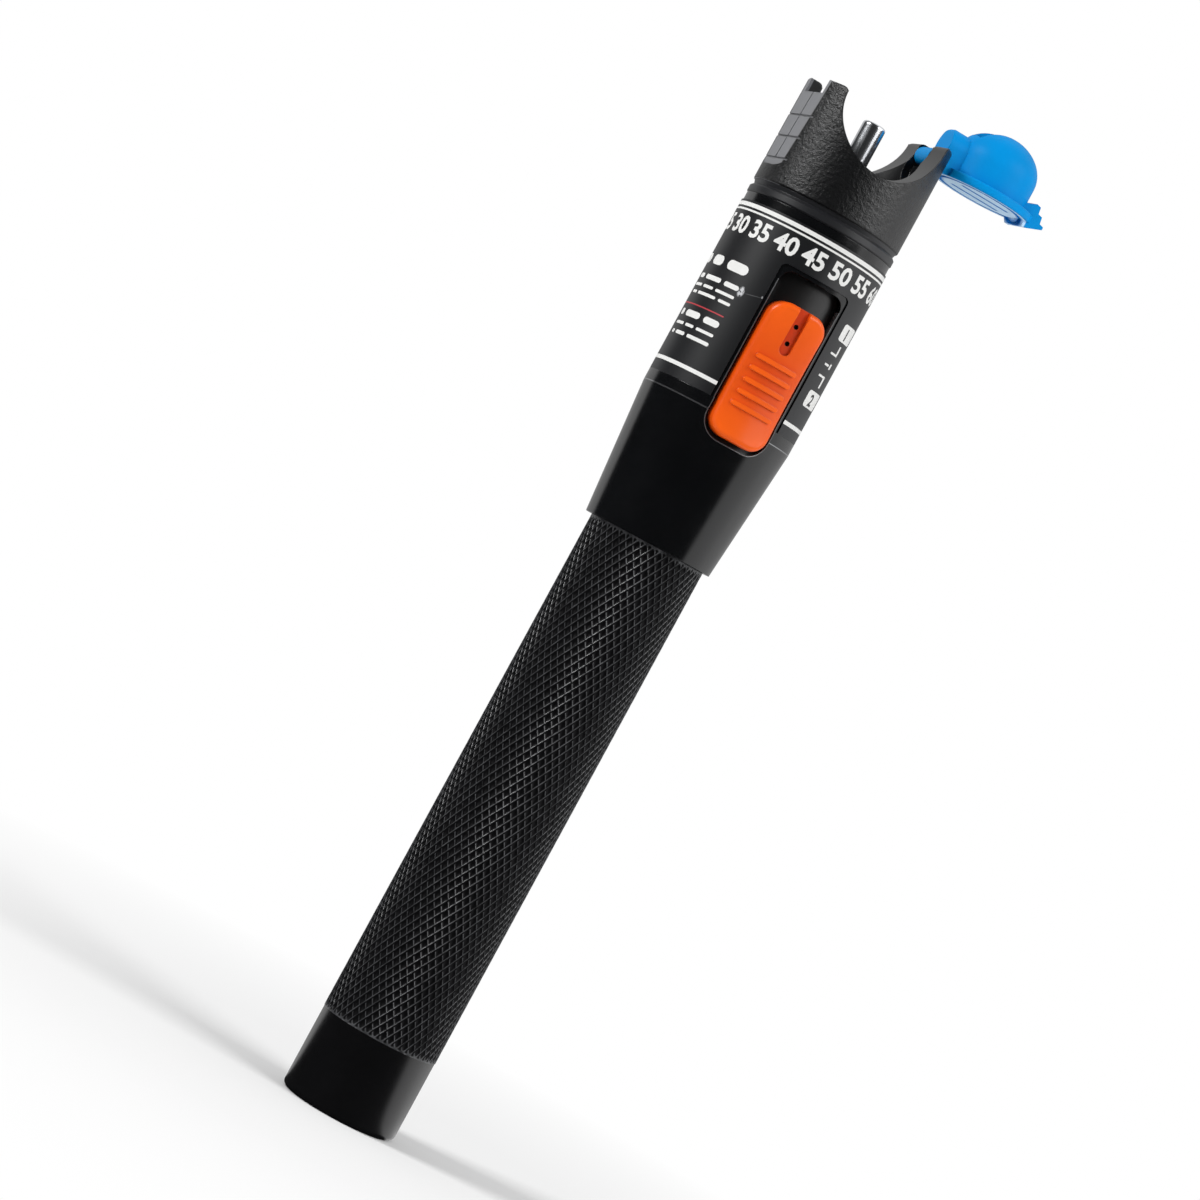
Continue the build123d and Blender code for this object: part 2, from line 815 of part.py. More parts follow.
def make_laser_barrel():
    module_bottom_z = diode_seat_z - module_skirt
    barrel_flange_radius = spigot_bore_radius - barrel_flange_gap
    outline = [
        (diode_base_radius + module_fit, module_bottom_z),
        (module_radius, module_bottom_z),
        (module_radius, flange_bottom_z),
        (barrel_flange_radius, flange_bottom_z),
        (barrel_flange_radius, crown_web_bottom_z),
        (port_collar_radius + module_fit, crown_web_bottom_z),
        (port_collar_radius + module_fit, port_base_z),
        (light_hole_radius, port_base_z),
        (light_hole_radius, lens_seat_z),
        (lens_radius + module_fit, lens_seat_z),
        (lens_radius + module_fit, diode_seat_z),
        (diode_base_radius + module_fit, diode_seat_z),
    ]
    return turned(outline)


def make_collimating_lens():
    """Plano-convex lens: its flat side seats against the barrel's ledge."""
    edge_z = lens_seat_z - lens_edge
    curve_radius = (lens_radius**2 + lens_bulge**2) / (2 * lens_bulge)
    centre_z = edge_z - lens_bulge + curve_radius
    half = lens_radius / 2
    halfway = (half, 0, centre_z - math.sqrt(curve_radius**2 - half**2))
    outline = [
        Line((0, 0, edge_z - lens_bulge), (0, 0, lens_seat_z)),
        Line((0, 0, lens_seat_z), (lens_radius, 0, lens_seat_z)),
        Line((lens_radius, 0, lens_seat_z), (lens_radius, 0, edge_z)),
        ThreePointArc((lens_radius, 0, edge_z), halfway, (0, 0, edge_z - lens_bulge)),
    ]
    return revolve(make_face(outline), Axis.Z)


def make_lens_ring():
    top_z = lens_seat_z - lens_edge
    outline = [
        (lens_ring_bore, top_z - lens_bulge - lens_ring_clearance),
        (lens_radius, top_z),
        (lens_radius, top_z - lens_ring_height),
        (lens_ring_bore, top_z - lens_ring_height),
    ]
    return turned(outline)


def make_laser_diode():
    base_bottom = diode_seat_z - diode_base_height
    base = disc(diode_base_radius, base_bottom, diode_seat_z)
    can = disc(diode_can_radius, diode_seat_z, diode_seat_z + diode_can_height)
    diode = base + can
    pin_y = board_back_y + diode_pin_radius
    upright = (Align.CENTER, Align.CENTER, Align.MIN)
    for side in (-1, 0, 1):
        pin = Cylinder(diode_pin_radius, base_bottom - diode_pin_z, align=upright)
        diode += Pos(side * diode_pin_spacing, pin_y, diode_pin_z) * pin
    return diode


def make_module_nut():
    """Ring nut that clamps the laser barrel up against the crown."""
    top_z = flange_bottom_z
    outer = spigot_bore_radius - module_fit
    nut = ring(outer, module_radius + module_fit, top_z - nut_height, top_z)
    bottom_z = top_z - nut_height
    half = nut_slot_width / 2
    spanner_slot = block(
        (-outer - overshoot, outer + overshoot),
        (-half, half),
        (bottom_z - overshoot, bottom_z + nut_slot_depth),
    )
    return nut - spanner_slot


def dome_solid():
    outline = [
        Line((0, 0, plate_bottom_z), (dome_radius, 0, plate_bottom_z)),
        Line((dome_radius, 0, plate_bottom_z), (dome_radius, 0, dome_straight_top_z)),
        Plane.XZ * EllipticalCenterArc((0, dome_straight_top_z), dome_radius, dome_rise),
        Line((0, 0, dome_straight_top_z + dome_rise), (0, 0, plate_bottom_z)),
    ]
    return Pos(cap_x, 0, 0) * revolve(make_face(outline), Axis.Z)


def cap_arm():
    """Round-topped hinge arm between the knuckle and the dome, as wide as the crown's slot lets it."""
    throat_x = hinge_x + arm_setback
    root_x = hinge_x + relief_radius
    top_z = hinge_z + arm_height
    outline = Polyline(
        (hinge_x, 0, hinge_z),
        (hinge_x, 0, plate_bottom_z),
        (root_x, 0, plate_bottom_z),
        (root_x, 0, top_z),
        (throat_x, 0, top_z),
        (throat_x, 0, hinge_z + arm_throat_rise),
        close=True,
    )
    side = make_face(outline)
    corner = side.vertices().sort_by_distance((throat_x, 0, top_z))[0]
    side = fillet(corner, arm_corner)
    arm = extrude(side, arm_half_width, dir=(0, 1, 0), both=True)
    spring_z = top_z - arm_half_width
    arch = Rot(0, 90, 0) * Cylinder(arm_half_width, 2 * relief_radius)
    arch = Pos(hinge_x + relief_radius, 0, spring_z) * arch
    straight = block((hinge_x, root_x), full_width, (plate_bottom_z, spring_z))
    arm &= arch + straight
    knuckle = across(knuckle_radius, (-arm_half_width, arm_half_width), hinge_x, hinge_z)
    return arm + knuckle


def cap_tongue():
    """Latch tongue with stepped grip ridges, and a lip on its other face."""
    tip_x = hinge_x + hinge_x - pad_x - tongue_inset
    root_x = tip_x - tongue_length
    lip_x = root_x + tongue_lip_slope
    low_z = hinge_z - tongue_half_height
    high_z = hinge_z + tongue_half_height
    lip_z = plate_bottom_z - tongue_lip_height
    outline = [(cap_x, low_z), (root_x, low_z), (lip_x, lip_z), (lip_x + tongue_lip_width, lip_z)]
    outline.append((tip_x, hinge_z - tongue_nose_low))
    for index in range(tongue_steps):
        x = tip_x - index * tongue_step
        z = hinge_z - tongue_nose_high + index * tongue_riser
        outline += [(x, z), (x - tongue_tread, z + tongue_tread_slope)]
    outline += [(root_x, high_z), (cap_x, high_z)]
    outline = Polyline(*[(x, 0, z) for x, z in outline], close=True)
    return side_profile(outline, tongue_half_width)


def port_relief():
    """Path of the port sleeve through the dome as the cap swings over it."""
    half = port_radius + port_clearance
    deep_z = 2 * hinge_z - port_top_z - port_clearance
    top_z = dome_straight_top_z + dome_rise + overshoot
    room = block((hinge_x, cap_x + half), (-half, half), (deep_z, top_z))
    return room - across(relief_radius, full_width, hinge_x, hinge_z)


def plate_marks():
    """Shallow ring and two bars sunk in the plate's outer face."""
    half = plate_ring_width / 2
    low_z, high_z = plate_bottom_z - overshoot, plate_bottom_z + plate_ring_depth
    marks = ring(plate_ring_radius + half, plate_ring_radius - half, low_z, high_z)
    bar_half = plate_bar_length / 2
    for y in (-plate_bar_gap, plate_bar_gap):
        marks += block((-bar_half, bar_half), (y - half, y + half), (low_z, high_z))
    return Pos(cap_x, 0, 0) * marks


def make_cap():
    plate = disc(plate_radius, plate_bottom_z, plate_top_z)
    plate = fillet(plate.edges().filter_by(GeomType.CIRCLE), plate_edge_round)
    plate = Pos(cap_x, 0, 0) * plate
    plate -= block((0, plate_cut_x), full_width, (0, plate_top_z + overshoot))
    body = plate + dome_solid() + cap_arm() + cap_tongue()
    pin_hole = across(pin_radius + pin_running, full_width, hinge_x, hinge_z)
    return body - plate_marks() - port_relief() - pin_hole


PIECES = {
    "battery_tube": make_battery_tube(),
    "tube_o_ring": make_tube_o_ring(),
    "tail_spring": make_tail_spring(),
    "battery_lower": make_cell(cell_bottom_z),
    "battery_upper": make_cell(cell_bottom_z + cell_length),
    "body_housing": make_body_housing(),
    "label_wrap": make_label_wrap(),
    "collar_ring": make_collar_ring(),
    "carrier_back": make_carrier_back(),
    "carrier_front": make_carrier_front(),
    "carrier_screws": make_carrier_screws(),
    "circuit_board": make_circuit_board(),
    "slide_switch_body": make_slide_switch_body(),
    "switch_lever": make_switch_lever(),
    "switch_button": make_switch_button(),
    "battery_contact": make_battery_contact(),
    "head_crown": make_head_crown(),
    "cap_hinge_pin": make_cap_hinge_pin(),
    "ferrule_sleeve": make_ferrule_sleeve(),
    "ceramic_sleeve": make_ceramic_sleeve(),
    "laser_barrel": make_laser_barrel(),
    "collimating_lens": make_collimating_lens(),
    "lens_ring": make_lens_ring(),
    "laser_diode": make_laser_diode(),
    "module_nut": make_module_nut(),
    "cap": make_cap(),
}

os.makedirs("parts", exist_ok=True)
for name, shape in PIECES.items():
    export_step(shape, f"parts/{name}.step")
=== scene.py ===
import math

import bmesh
import bpy
from bpy.props import FloatProperty, FloatVectorProperty, IntProperty, PointerProperty
from mathutils import Matrix, Vector


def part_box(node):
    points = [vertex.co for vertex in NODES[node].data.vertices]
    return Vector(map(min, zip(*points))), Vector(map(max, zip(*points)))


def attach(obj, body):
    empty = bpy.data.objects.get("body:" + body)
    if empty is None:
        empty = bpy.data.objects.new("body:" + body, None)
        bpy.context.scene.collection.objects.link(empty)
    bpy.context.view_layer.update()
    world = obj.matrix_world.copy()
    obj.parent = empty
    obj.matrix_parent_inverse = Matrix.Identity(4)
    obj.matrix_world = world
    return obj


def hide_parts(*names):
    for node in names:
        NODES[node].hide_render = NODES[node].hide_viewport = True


bl_info = {
    "name": "Fibre Fault Locator",
    "version": (1, 0, 0),
    "blender": (4, 5, 0),
    "location": "3D View > Sidebar > Locator",
    "description": "Finishes, knurling, print and studio for a pen-shaped fibre fault locator",
    "category": "Object",
}

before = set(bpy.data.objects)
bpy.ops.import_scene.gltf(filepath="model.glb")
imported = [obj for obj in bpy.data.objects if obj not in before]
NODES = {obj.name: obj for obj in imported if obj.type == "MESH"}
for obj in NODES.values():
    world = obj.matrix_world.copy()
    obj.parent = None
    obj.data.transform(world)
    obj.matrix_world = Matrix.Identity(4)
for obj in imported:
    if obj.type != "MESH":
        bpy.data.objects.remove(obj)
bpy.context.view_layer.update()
MM = 0.001
UP = Vector((0, 0, 1))

# Corners of the solids' boxes, which the sizes below are worked out from
TUBE_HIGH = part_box("battery_tube")[1]
HOUSING_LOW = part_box("body_housing")[0]
LABEL_LOW, LABEL_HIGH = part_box("label_wrap")
CROWN_LOW, CROWN_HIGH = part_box("head_crown")
BUTTON_LOW, BUTTON_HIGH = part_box("switch_button")
RING_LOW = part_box("tube_o_ring")[0]
CELL_LOW, CELL_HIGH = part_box("battery_lower")
CAP_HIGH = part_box("cap")[1]
PIN_LOW, PIN_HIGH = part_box("cap_hinge_pin")
HINGE_X = (PIN_LOW.x + PIN_HIGH.x) / 2

# Places in the label's print, in millimetres round it from its front and up from its foot
DASHES_END = -11.2
SWITCH_BOX_FEET = (17.9, 6.0)


def linear(colour):
    """Linear RGB of an sRGB colour written as #rrggbb."""
    parts = [int(colour[i:i + 2], 16) / 255 for i in (1, 3, 5)]
    return [c / 12.92 if c <= 0.04045 else ((c + 0.055) / 1.055) ** 2.4 for c in parts]


def length(name, description, millimetres):
    """Property of a length, kept in metres."""
    return FloatProperty(
        name=name, description=description, default=millimetres * MM, subtype="DISTANCE", unit="LENGTH",
        precision=5,
    )


def turn(name, description, degrees):
    """Property of an angle, kept in radians."""
    return FloatProperty(
        name=name, description=description, default=math.radians(degrees), subtype="ANGLE",
        unit="ROTATION",
    )


def colour(name, description, hex_value):
    """Property of a colour, written as sRGB hex and kept linear."""
    return FloatVectorProperty(
        name=name, description=description, default=linear(hex_value), subtype="COLOR", size=3,
        min=0, max=1,
    )


class LOCATOR_PG_tube(bpy.types.PropertyGroup):
    """Sizes and colours of the battery tube."""
    starts: IntProperty(name="Knurl starts", description="Diamonds round the barrel", default=48)
    steps: IntProperty(name="Knurl steps", description="Mesh steps over one diamond", default=6)
    knurl_pitch: length("Knurl pitch", "Height of one diamond", 2.28)
    knurl_depth: length("Knurl depth", "From the crests to the pits", 0.24)
    smooth_tail: length("Smooth tail", "Height where the knurling starts", 14.4)
    tail_round: length("Tail round", "Rounding of the closed end", 0.9)
    smooth_relief: length("Smooth relief", "How far the smooth parts lie under the crests", 0.08)
    thread_pitch: length("Thread pitch", "Rise of the neck's thread in a turn", 1.0)
    thread_depth: length("Thread depth", "From the thread's crest to its root", 0.45)
    anodised: colour("Anodised", "Black of the anodised barrel", "#08080a")
    crest: colour("Crest", "Rubbed crests of the knurl", "#66676a")


class LOCATOR_PG_print(bpy.types.PropertyGroup):
    """Sizes and colours of the label's print."""
    ink_rise: length("Ink rise", "How far the ink lies over the label", 0.012)
    strip: length("Strip", "Width of the flat strips that the print is bent in", 0.5)
    white: colour("White ink", "Screen-printed white", "#dddddb")
    red: colour("Red ink", "Screen-printed red", "#b5303a")
    label: colour("Label", "Satin label film", "#131417")


class LOCATOR_PG_finish(bpy.types.PropertyGroup):
    """Colours of the moulded and turned pieces."""
    housing: colour("Housing", "Polished black anodising", "#060709")
    crown: colour("Crown", "Grained ABS of the head", "#08090b")
    crown_pad: colour("Crown, pad", "Smooth, worn pad at the crown's side", "#68696d")
    crown_lips: colour("Crown, lips", "Smooth ABS of the lips and inside", "#101113")
    collar: colour("Collar", "Satin black ring", "#1c1d20")
    orange: colour("Button", "Orange moulded polycarbonate", "#ec5b08")
    orange_shade: colour("Button, deep", "Shade in the button's slot and waist", "#c43a0c")
    blue: colour("Cap", "Blue moulded polypropylene", "#008cd4")
    blue_face: colour("Cap face", "Frosted end of the cap", "#c4e4ff")
    blue_mark: colour("Cap mark", "Bare ring and bars on the frosted end", "#0a74c8")


class LOCATOR_PG_stage(bpy.types.PropertyGroup):
    """Camera, floor and lamps."""
    distance: length("Distance", "From the camera to the pen's axis", 690)
    lens: FloatProperty(name="Lens", description="Focal length", default=128, unit="CAMERA")
    azimuth: turn("Azimuth", "Where the camera stands round the pen", -18.5)
    roll: turn("Roll", "Tilt of the picture", 28.6)
    aim_height: length("Aim height", "Height that the camera looks at", 93.0)
    aim_side: length("Aim side", "How far beside the axis it looks", -2.33)
    floor_radius: length("Floor radius", "Radius of the round floor", 3000)
    shadow_radius: length("Shadow radius", "Where the floor starts to fade to white", 60)
    fade_width: length("Fade width", "Over what distance the floor fades", 120)
    floor: colour("Floor", "Pale floor under the pen", "#f4f4f4")
    ambient: FloatProperty(
        name="Ambient", description="Level of the even light", default=0.46, subtype="FACTOR",
    )
    dark_side: FloatProperty(
        name="Dark side", description="What polished faces mirror in front", default=0.02, subtype="FACTOR",
    )
    key: FloatProperty(name="Key", description="Power of the large right lamp", default=5.3, unit="POWER")
    fill: FloatProperty(name="Fill", description="Power of the left lamp", default=7.0, unit="POWER")


def feed(tree, socket, value):
    """Links a node's first output, or a socket, to an input, or sets the input to a plain value."""
    if isinstance(value, bpy.types.Node):
        value = value.outputs[0]
    if isinstance(value, bpy.types.NodeSocket):
        tree.links.new(value, socket)
    else:
        socket.default_value = value


def add_node(tree, kind, inputs=(), **settings):
    """Adds a shader node with its settings, and feeds its inputs, given by name or in order."""
    made = tree.nodes.new("ShaderNode" + kind)
    for name, value in settings.items():
        setattr(made, name, value)
    for name, value in inputs.items() if isinstance(inputs, dict) else enumerate(inputs):
        feed(tree, made.inputs[name], value)
    return made


class Finish:
    """A material under construction, with masks of 0 to 1 that say where it is painted."""

    def __init__(self, name, base, roughness, metallic=0.0, ior=None):
        self.material = bpy.data.materials.new(name)
        self.material.use_nodes = True
        self.tree = self.material.node_tree
        self.shader = self.tree.nodes["Principled BSDF"]
        self.paint("Base Color", (*base, 1))
        self.paint("Roughness", roughness)
        self.paint("Metallic", metallic)
        if ior:
            self.paint("IOR", ior)
        self.position = self.add("TexCoord").outputs["Object"]
        self.x, self.y, self.z = self.add("SeparateXYZ", (self.position,)).outputs

    def add(self, kind, inputs=(), **settings):
        return add_node(self.tree, kind, inputs, **settings)

    def paint(self, socket_name, value):
        """Feeds an input of the material's shader."""
        feed(self.tree, self.shader.inputs[socket_name], value)

    # Measures

    def away(self, value, centre=0.0):
        """Distance of a value from a centre."""
        apart = self.add("Math", (value, centre), operation="SUBTRACT")
        return self.add("Math", (apart,), operation="ABSOLUTE")

    def excess(self, value, edge):
        """How far a value lies over an edge, or 0 under it."""
        over = self.add("Math", (value, edge), operation="SUBTRACT")
        return self.add("Math", (over, 0.0), operation="MAXIMUM")

    def reach(self, first, second):
        """Length of the vector (first, second)."""
        flat = self.add("CombineXYZ", (first, second))
        return self.add("VectorMath", (flat,), operation="LENGTH").outputs["Value"]

    def radius(self):
        """Distance from the pen's axis."""
        return self.reach(self.x, self.y)

    # Masks

    def above(self, value, edge, soft):
        """1 over an edge and 0 under it, across a soft step of a given width."""
        inputs = {"Value": value, "From Min": edge - soft / 2, "From Max": edge + soft / 2}
        return self.add("MapRange", inputs)

    def below(self, value, edge, soft):
        """1 under an edge and 0 over it, across a soft step of a given width."""
        return self.add("Math", (1.0, self.above(value, edge, soft)), operation="SUBTRACT")

    def near(self, value, centre, width):
        """1 within a width of a centre, with soft sides."""
        return self.below(self.away(value, centre), width, width)

    def all_of(self, mask, *others):
        """Where every mask is, as their product."""
        for other in others:
            mask = self.add("Math", (mask, other), operation="MULTIPLY")
        return mask

    def any_of(self, mask, *others):
        """Where any of the masks is, as the highest."""
        for other in others:
            mask = self.add("Math", (mask, other), operation="MAXIMUM")
        return mask

    def without(self, mask, other):
        """The first mask, less the other."""
        return self.add("Math", (mask, other), operation="SUBTRACT", use_clamp=True)

    def grains(self, size, detail=3.0):
        """Soft random grains of about the given size in metres."""
        inputs = {"Vector": self.position, "Scale": 1 / size, "Detail": detail, "Roughness": 0.55}
        return self.add("TexNoise", inputs).outputs["Fac"]

    # Colour, gloss and relief

    def cover(self, mask, under, over):
        """The under colour, with the over colour where the mask is; each a socket or an RGB list."""
        under, over = [c if isinstance(c, bpy.types.NodeSocket) else (*c, 1) for c in (under, over)]
        return self.add("Mix", {0: mask, 6: under, 7: over}, data_type="RGBA").outputs[2]

    def drift(self, base, amount, patch):
        """The base colour, a little lighter and darker in soft patches."""
        lift = amount * 0.004
        light = [min(1.0, c * (1 + amount) + lift) for c in base]
        dark = [c * (1 - amount) for c in base]
        return self.cover(self.grains(patch, 2.0), dark, light)

    def between(self, mask, low, high):
        """A level that is low where the mask is 0 and high where it is 1."""
        return self.add("MapRange", {"Value": mask, "To Min": low, "To Max": high})

    def vary_roughness(self, low, high, patch):
        """Roughness that wanders from low to high in soft patches."""
        inputs = {"Value": self.grains(patch), "From Min": 0.3, "From Max": 0.7}
        inputs.update({"To Min": low, "To Max": high})
        self.paint("Roughness", self.add("MapRange", inputs))

    def relief(self, height, depth, edge=0.0, strength=1.0):
        """Bump of a height of 0 to 1 over a depth in metres, on edges softened by a radius."""
        inputs = {"Strength": strength, "Distance": depth, "Height": height}
        if edge:
            inputs["Normal"] = self.add("Bevel", {"Radius": edge}, samples=4)
        self.paint("Normal", self.add("Bump", inputs))


def give(material, *names):
    """The material on CAD nodes, in every slot that they have."""
    for name in names:
        mesh = NODES[name].data
        if not mesh.materials:
            mesh.materials.append(material)
        for index in range(len(mesh.materials)):
            mesh.materials[index] = material


def mesh_object(name, bm, *materials):
    """A mesh object made from a bmesh, with its materials, linked to the scene."""
    mesh = bpy.data.meshes.new(name)
    bm.to_mesh(mesh)
    bm.free()
    for material in materials:
        mesh.materials.append(material)
    made = bpy.data.objects.new(name, mesh)
    bpy.context.scene.collection.objects.link(made)
    return made


# Finishes. Grain and wear are sized in millimetres of the real surface. The tooth of etching and of film
# is some hundredths of a millimetre in the real ones, and is drawn coarser so that it shows.

# At scale 1 the bands of a wave texture repeat at this distance
WAVE_REPEAT = math.tau / 20


def anodised_knurl(sizes, crest_radius):
    """Black anodised aluminium, knurled and etched: matt black pits, and crests painted grey, partly as
    wear from handling and partly as a painted highlight along the crest lines.
    """
    made = Finish("black_anodised_knurl", sizes.anodised, 0.3, ior=1.55)
    crests = made.above(made.radius(), crest_radius - 0.04 * MM, 0.08 * MM)
    knurled = made.above(made.z, sizes.smooth_tail, 0.1 * MM)
    smooth = made.below(made.z, sizes.smooth_tail, 0.1 * MM)
    uncovered = made.below(made.z, HOUSING_LOW.z, 0.1 * MM)
    patches = (made.grains(1.6 * MM), 1.6, -0.35)
    handled = made.add("Math", patches, operation="MULTIPLY_ADD", use_clamp=True)
    # Painted highlight and wear: the crests are painted grey in patches, partly for rubbing by hands and
    # partly to stand in for the thin highlights along the crest lines.
    worn = made.all_of(crests, knurled, handled, uncovered)
    made.paint("Base Color", made.cover(worn, made.drift(sizes.anodised, 0.3, 9 * MM), sizes.crest))
    # The etched pits are rough, and their specular is lowered as painted shade for the shade inside them.
    # The crests and the smooth tail keep a soft gloss.
    shine = made.any_of(crests, smooth)
    made.paint("Roughness", made.between(shine, 0.5, 0.26))
    made.paint("Specular IOR Level", made.between(shine, 0.08, 0.5))
    made.relief(made.grains(0.12 * MM), 0.002 * MM, strength=0.4)
    return made.material


def polished_anodising(sizes):
    """Black anodised aluminium, turned and polished: near-black, and mirrors the room softly.

    Thin bright lines of bare-metal colour are painted along the edge of the flare and, on the front, along
    the lower edge of the window: painted highlights for the glints on those edges.
    """
    made = Finish("polished_black_anodising", sizes.housing, 0.16, ior=1.55)
    base = made.drift(sizes.housing, 0.4, 14 * MM)
    flare_edge = LABEL_LOW.z - 2.0 * MM
    ridge = made.near(made.z, flare_edge, 0.07 * MM)
    corner = 3.5 * MM
    half_width = (BUTTON_HIGH.x - BUTTON_LOW.x) / 2 + 0.65 * MM
    window_bottom = BUTTON_LOW.z - 0.8 * MM
    line_top = LABEL_HIGH.z - 9.5 * MM
    aside = made.excess(made.away(made.x), half_width - corner)
    down = made.excess(window_bottom + corner, made.z)
    window_edge = made.near(made.reach(aside, down), corner, 0.11 * MM)
    in_front = made.add("Math", (made.y, -5 * MM), operation="LESS_THAN")
    lower = made.add("Math", (made.z, line_top), operation="LESS_THAN")
    # Painted highlights: bright metal lines on the flare's edge and on the window's lower front edge stand
    # in for the glints of those edges.
    painted_edge_glint = made.any_of(ridge, made.all_of(window_edge, in_front, lower, 0.7))
    made.paint("Base Color", made.cover(painted_edge_glint, base, linear("#9b9c9e")))
    made.paint("Metallic", painted_edge_glint)
    made.vary_roughness(0.14, 0.2, 3 * MM)
    made.relief(made.grains(0.5 * MM), 0.0015 * MM, edge=0.15 * MM, strength=0.3)
    return made.material


def label_foil(sizes):
    """Polyester label film, laminated: satin charcoal, flat and even, with one pale scuff by the window."""
    made = Finish("satin_label_film", sizes.label, 0.42, ior=1.5)
    forward = made.add("Math", (made.y, -1.0), operation="MULTIPLY")
    angle = made.add("Math", (made.x, forward), operation="ARCTAN2")
    around = made.add("Math", (angle, LABEL_HIGH.x), operation="MULTIPLY")

    def rubbed(middle, height, half_width, half_height, slope=0.0):
        """A worn spot, placed in millimetres round the label from its front and up from its foot."""
        aside = made.add("Math", (around, middle * MM), operation="SUBTRACT")
        up = made.add("Math", (made.z, LABEL_LOW.z + height * MM), operation="SUBTRACT")
        lean = made.add("Math", (aside, slope), operation="MULTIPLY")
        rise = made.add("Math", (up, lean), operation="SUBTRACT")
        across = made.add("Math", (aside, half_width * MM), operation="DIVIDE")
        along = made.add("Math", (rise, half_height * MM), operation="DIVIDE")
        return made.below(made.reach(across, along), 0.9, 0.4)

    patchy = made.above(made.grains(0.5 * MM), 0.44, 0.1)
    scuff = made.all_of(rubbed(-10.65, 16.85, 0.6, 0.9), patchy)
    scratch = made.all_of(rubbed(-8.4, 17.15, 1.7, 0.06, slope=0.2), 0.14)
    nick = made.all_of(rubbed(-7.0, 17.55, 0.15, 0.2), 0.5)
    worn = made.any_of(scuff, scratch, nick)
    made.paint("Base Color", made.cover(worn, made.drift(sizes.label, 0.08, 5 * MM), linear("#bfc0c3")))
    made.relief(made.grains(0.25 * MM), 0.004 * MM, edge=0.05 * MM, strength=0.5)
    return made.material


def ink(name, base):
    """Screen-printed ink, cured on the film: opaque and even, slightly raised and satin."""
    made = Finish(name, base, 0.45, ior=1.5)
    made.paint("Base Color", made.drift(base, 0.04, 1.5 * MM))
    return made.material


def grained_abs(sizes):
    """Black ABS, injection-moulded with a leather grain on its outside: dull, with many small glints.

    Its lips and inside are plain, and the pad at its side is plain and pale grey.
    """
    made = Finish("leather_grain_abs", sizes.crown, 0.36, ior=1.53)
    outside = made.above(made.radius(), CROWN_HIGH.y - 0.12 * MM, 0.06 * MM)
    pad = made.without(made.below(made.x, CROWN_LOW.x + 1.8 * MM, 0.1 * MM), outside)
    grained = made.without(outside, pad)
    # Cells of leather grain, some 0.6 mm wide, pushed about so that no two are alike
    warp = made.add("TexNoise", {"Vector": made.position, "Scale": 1 / (1.2 * MM), "Detail": 2.0})
    shift = made.add("VectorMath", {0: warp.outputs["Color"], "Scale": 0.55 * MM}, operation="SCALE")
    moved = made.add("VectorMath", (made.position, shift), operation="ADD")
    inputs = {"Vector": moved, "Scale": 1 / (0.62 * MM), "Randomness": 1.0}
    cells = made.add("TexVoronoi", inputs, feature="SMOOTH_F1").outputs["Distance"]
    height = made.add("Math", (cells, -0.9, made.grains(0.22 * MM)), operation="MULTIPLY_ADD")
    plain = made.cover(pad, sizes.crown_lips, sizes.crown_pad)
    made.paint("Base Color", made.cover(grained, plain, made.drift(sizes.crown, 0.12, 2 * MM)))
    made.paint("Roughness", made.between(grained, 0.32, 0.36))
    made.relief(made.all_of(height, grained), 0.08 * MM, edge=0.3 * MM, strength=0.9)
    return made.material


def moulded(name, base, roughness, ior=1.5, grain=0.5 * MM, depth=0.003 * MM, edge=0.1 * MM):
    """Injection-moulded plastic: even colour, faint flow marks and softened edges."""
    made = Finish(name, base, roughness, ior=ior)
    made.paint("Base Color", made.drift(base, 0.07, 4 * MM))
    made.relief(made.grains(grain), depth, edge=edge, strength=0.4)
    return made


def orange_polycarbonate(sizes):
    """Orange polycarbonate, moulded: full colour and a soft gloss, with painted shade in its waist and its
    slot.

    The two holes in the slot are painted dark, as painted shade.
    """
    made = moulded("orange_polycarbonate", sizes.orange, 0.28, ior=1.5, edge=0.22 * MM)
    # The lowered specular keeps the pale room from washing the orange out.
    made.paint("Specular IOR Level", 0.3)
    slot_foot = BUTTON_LOW.z + 16 * MM
    slot_half_width = 1.05 * MM
    holes_middle = slot_foot + 3.5 * MM
    hole_offset = 1.5 * MM
    hole_radius = 0.42 * MM
    aside = made.away(made.x)
    depth = made.add("Math", (-BUTTON_LOW.y, made.radius()), operation="SUBTRACT")
    waist = made.all_of(made.above(depth, 0.35 * MM, 0.5 * MM), 0.45)
    deep = made.above(depth, 0.85 * MM, 0.3 * MM)
    narrow = made.add("Math", (aside, slot_half_width), operation="LESS_THAN")
    slot = made.all_of(deep, made.above(made.z, slot_foot, 0.1 * MM), narrow)
    from_hole = made.add("Math", (made.away(made.z, holes_middle), hole_offset), operation="SUBTRACT")
    hole = made.all_of(slot, made.below(made.reach(aside, from_hole), hole_radius, 0.08 * MM))
    base = made.drift(sizes.orange, 0.07, 4 * MM)
    # Painted shade: the waist and the slot are painted a deeper orange, and the two holes in the slot
    # near-black, for the shade in these hollows.
    base = made.cover(made.any_of(slot, waist), base, sizes.orange_shade)
    made.paint("Base Color", made.cover(hole, base, linear("#1a0a06")))
    return made.material


